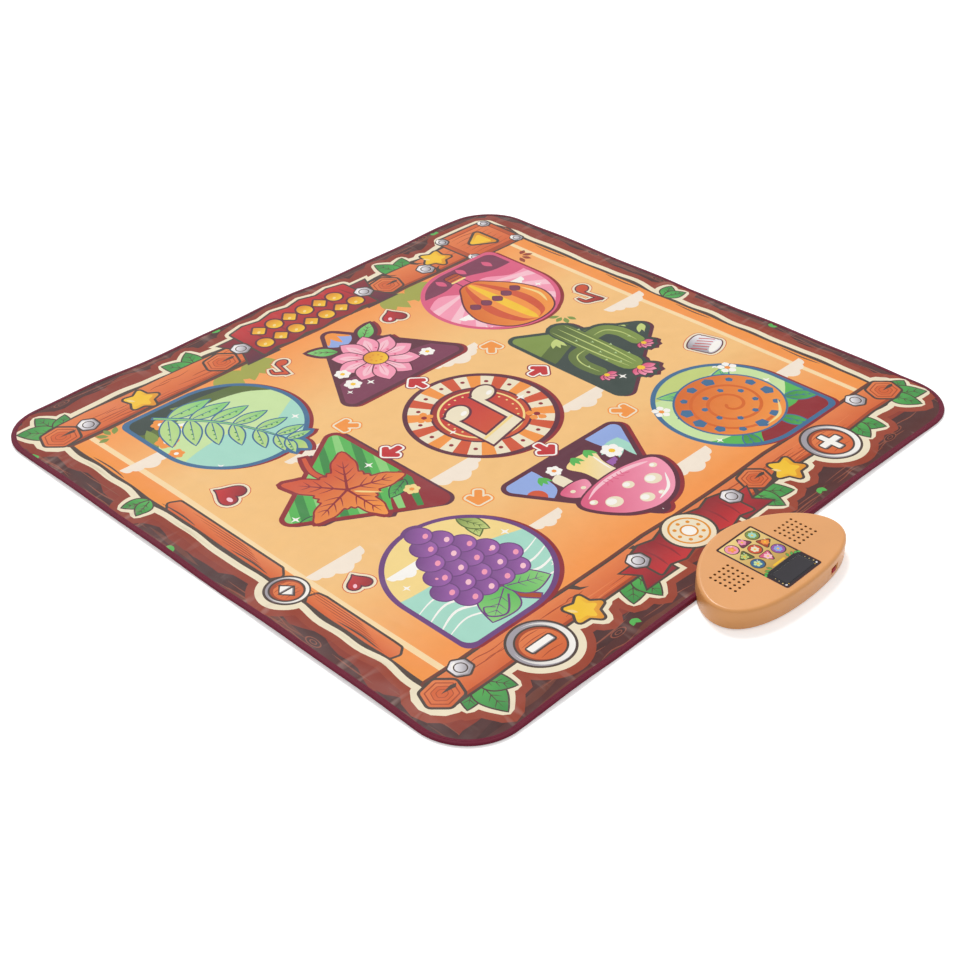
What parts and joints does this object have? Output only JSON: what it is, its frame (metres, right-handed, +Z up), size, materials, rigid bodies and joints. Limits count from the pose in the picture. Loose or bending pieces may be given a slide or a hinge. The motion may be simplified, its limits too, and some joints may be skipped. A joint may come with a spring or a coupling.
{
  "type": "electronic dance mat",
  "caption": "Soft square dance mat with sprung step pads and touch pads under a printed cover, bound at the edge, with a clamped-on sound box holding a digit display, speakers and battery bay.",
  "frame": {"origin": "middle of the mat's underside, on the floor", "axes": "+X to the dancer's right, +Y from the sound box towards the mat's far edge, +Z up from the floor"},
  "size_m": [0.9, 0.9355, 0.026],
  "materials": {
    "printed_cover": "satin",
    "pad_cover": "satin",
    "binding_tape": "matte",
    "base_sheet": "matte",
    "spacer_foam": "matte",
    "circuit_film": "gloss",
    "housing_plastic": "satin",
    "label": "gloss",
    "smoked_lens": "gloss",
    "light_plastic": "matte",
    "board_laminate": "satin",
    "black_plastic": "matte",
    "red_plastic": "satin",
    "steel": "satin",
    "cell_jacket": "gloss",
    "speaker_paper": "matte",
    "foot_rubber": "matte"
  },
  "bodies": {
    "mat_and_sound_box": {"printed_cover": "printed_cover", "upper_circuit_film": "circuit_film", "spacer_foam": "spacer_foam", "lower_circuit_film": "circuit_film", "nonslip_base": "base_sheet", "edge_binding": "binding_tape", "upper_housing": "housing_plastic", "lower_housing": "housing_plastic", "label_panel": "label", "display_lens": "smoked_lens", "digit_display": "light_plastic", "circuit_board": "board_laminate", "sound_chip": "black_plastic", "cable_connector": "light_plastic", "flat_cable": "circuit_film", "speaker_basket_left": "steel", "speaker_basket_right": "steel", "speaker_cone_left": "speaker_paper", "speaker_cone_right": "speaker_paper", "power_switch_case": "black_plastic", "battery_1": "cell_jacket", "battery_2": "cell_jacket", "battery_3": "cell_jacket", "battery_contact_left": "steel", "battery_contact_right": "steel", "housing_screw_front_1": "steel", "housing_screw_front_2": "steel", "housing_screw_rear_1": "steel", "housing_screw_rear_2": "steel", "board_screw_1": "steel", "board_screw_2": "steel", "board_screw_3": "steel", "board_screw_4": "steel", "rubber_foot_1": "foot_rubber", "rubber_foot_2": "foot_rubber", "rubber_foot_3": "foot_rubber", "rubber_foot_4": "foot_rubber"},
    "step_pad_front_left": {"step_pad_front_left": "pad_cover"},
    "step_pad_front_centre": {"step_pad_front_centre": "pad_cover"},
    "step_pad_front_right": {"step_pad_front_right": "pad_cover"},
    "step_pad_middle_left": {"step_pad_middle_left": "pad_cover"},
    "step_pad_middle_centre": {"step_pad_middle_centre": "pad_cover"},
    "step_pad_middle_right": {"step_pad_middle_right": "pad_cover"},
    "step_pad_back_left": {"step_pad_back_left": "pad_cover"},
    "step_pad_back_centre": {"step_pad_back_centre": "pad_cover"},
    "step_pad_back_right": {"step_pad_back_right": "pad_cover"},
    "volume_down_pad": {"volume_down_pad": "pad_cover"},
    "volume_up_pad": {"volume_up_pad": "pad_cover"},
    "mode_pad": {"mode_pad": "pad_cover"},
    "start_pad": {"start_pad": "pad_cover"},
    "power_switch": {"power_switch_knob": "red_plastic"},
    "battery_door": {"battery_door": "housing_plastic", "battery_door_screw": "steel"}
  },
  "joints": [
    {"name": "step_pad_front_left_press", "type": "slide", "parent": "mat_and_sound_box", "child": "step_pad_front_left", "axis": [0, 0, -1], "range_m": [0, 0.0022], "stiffness_N_per_m": 4000, "springref_m": -0.0005},
    {"name": "step_pad_front_centre_press", "type": "slide", "parent": "mat_and_sound_box", "child": "step_pad_front_centre", "axis": [0, 0, -1], "range_m": [0, 0.0022], "stiffness_N_per_m": 4000, "springref_m": -0.0005},
    {"name": "step_pad_front_right_press", "type": "slide", "parent": "mat_and_sound_box", "child": "step_pad_front_right", "axis": [0, 0, -1], "range_m": [0, 0.0022], "stiffness_N_per_m": 4000, "springref_m": -0.0005},
    {"name": "step_pad_middle_left_press", "type": "slide", "parent": "mat_and_sound_box", "child": "step_pad_middle_left", "axis": [0, 0, -1], "range_m": [0, 0.0022], "stiffness_N_per_m": 4000, "springref_m": -0.0005},
    {"name": "step_pad_middle_centre_press", "type": "slide", "parent": "mat_and_sound_box", "child": "step_pad_middle_centre", "axis": [0, 0, -1], "range_m": [0, 0.0022], "stiffness_N_per_m": 4000, "springref_m": -0.0005},
    {"name": "step_pad_middle_right_press", "type": "slide", "parent": "mat_and_sound_box", "child": "step_pad_middle_right", "axis": [0, 0, -1], "range_m": [0, 0.0022], "stiffness_N_per_m": 4000, "springref_m": -0.0005},
    {"name": "step_pad_back_left_press", "type": "slide", "parent": "mat_and_sound_box", "child": "step_pad_back_left", "axis": [0, 0, -1], "range_m": [0, 0.0022], "stiffness_N_per_m": 4000, "springref_m": -0.0005},
    {"name": "step_pad_back_centre_press", "type": "slide", "parent": "mat_and_sound_box", "child": "step_pad_back_centre", "axis": [0, 0, -1], "range_m": [0, 0.0022], "stiffness_N_per_m": 4000, "springref_m": -0.0005},
    {"name": "step_pad_back_right_press", "type": "slide", "parent": "mat_and_sound_box", "child": "step_pad_back_right", "axis": [0, 0, -1], "range_m": [0, 0.0022], "stiffness_N_per_m": 4000, "springref_m": -0.0005},
    {"name": "volume_down_press", "type": "slide", "parent": "mat_and_sound_box", "child": "volume_down_pad", "axis": [0, 0, -1], "range_m": [0, 0.0022], "stiffness_N_per_m": 1500, "springref_m": -0.0005},
    {"name": "volume_up_press", "type": "slide", "parent": "mat_and_sound_box", "child": "volume_up_pad", "axis": [0, 0, -1], "range_m": [0, 0.0022], "stiffness_N_per_m": 1500, "springref_m": -0.0005},
    {"name": "mode_press", "type": "slide", "parent": "mat_and_sound_box", "child": "mode_pad", "axis": [0, 0, -1], "range_m": [0, 0.0022], "stiffness_N_per_m": 1500, "springref_m": -0.0005},
    {"name": "start_press", "type": "slide", "parent": "mat_and_sound_box", "child": "start_pad", "axis": [0, 0, -1], "range_m": [0, 0.0022], "stiffness_N_per_m": 1500, "springref_m": -0.0005},
    {"name": "power_switch_slide", "type": "slide", "parent": "mat_and_sound_box", "child": "power_switch", "axis": [0.9867, 0.1626, 0], "range_m": [0, 0.005]},
    {"name": "battery_door_hinge", "type": "hinge", "parent": "mat_and_sound_box", "child": "battery_door", "pos_m": [-0.013, -0.4592, 0.0008], "axis": [1, 0, 0], "range_deg": [0, 60]}
  ]
}
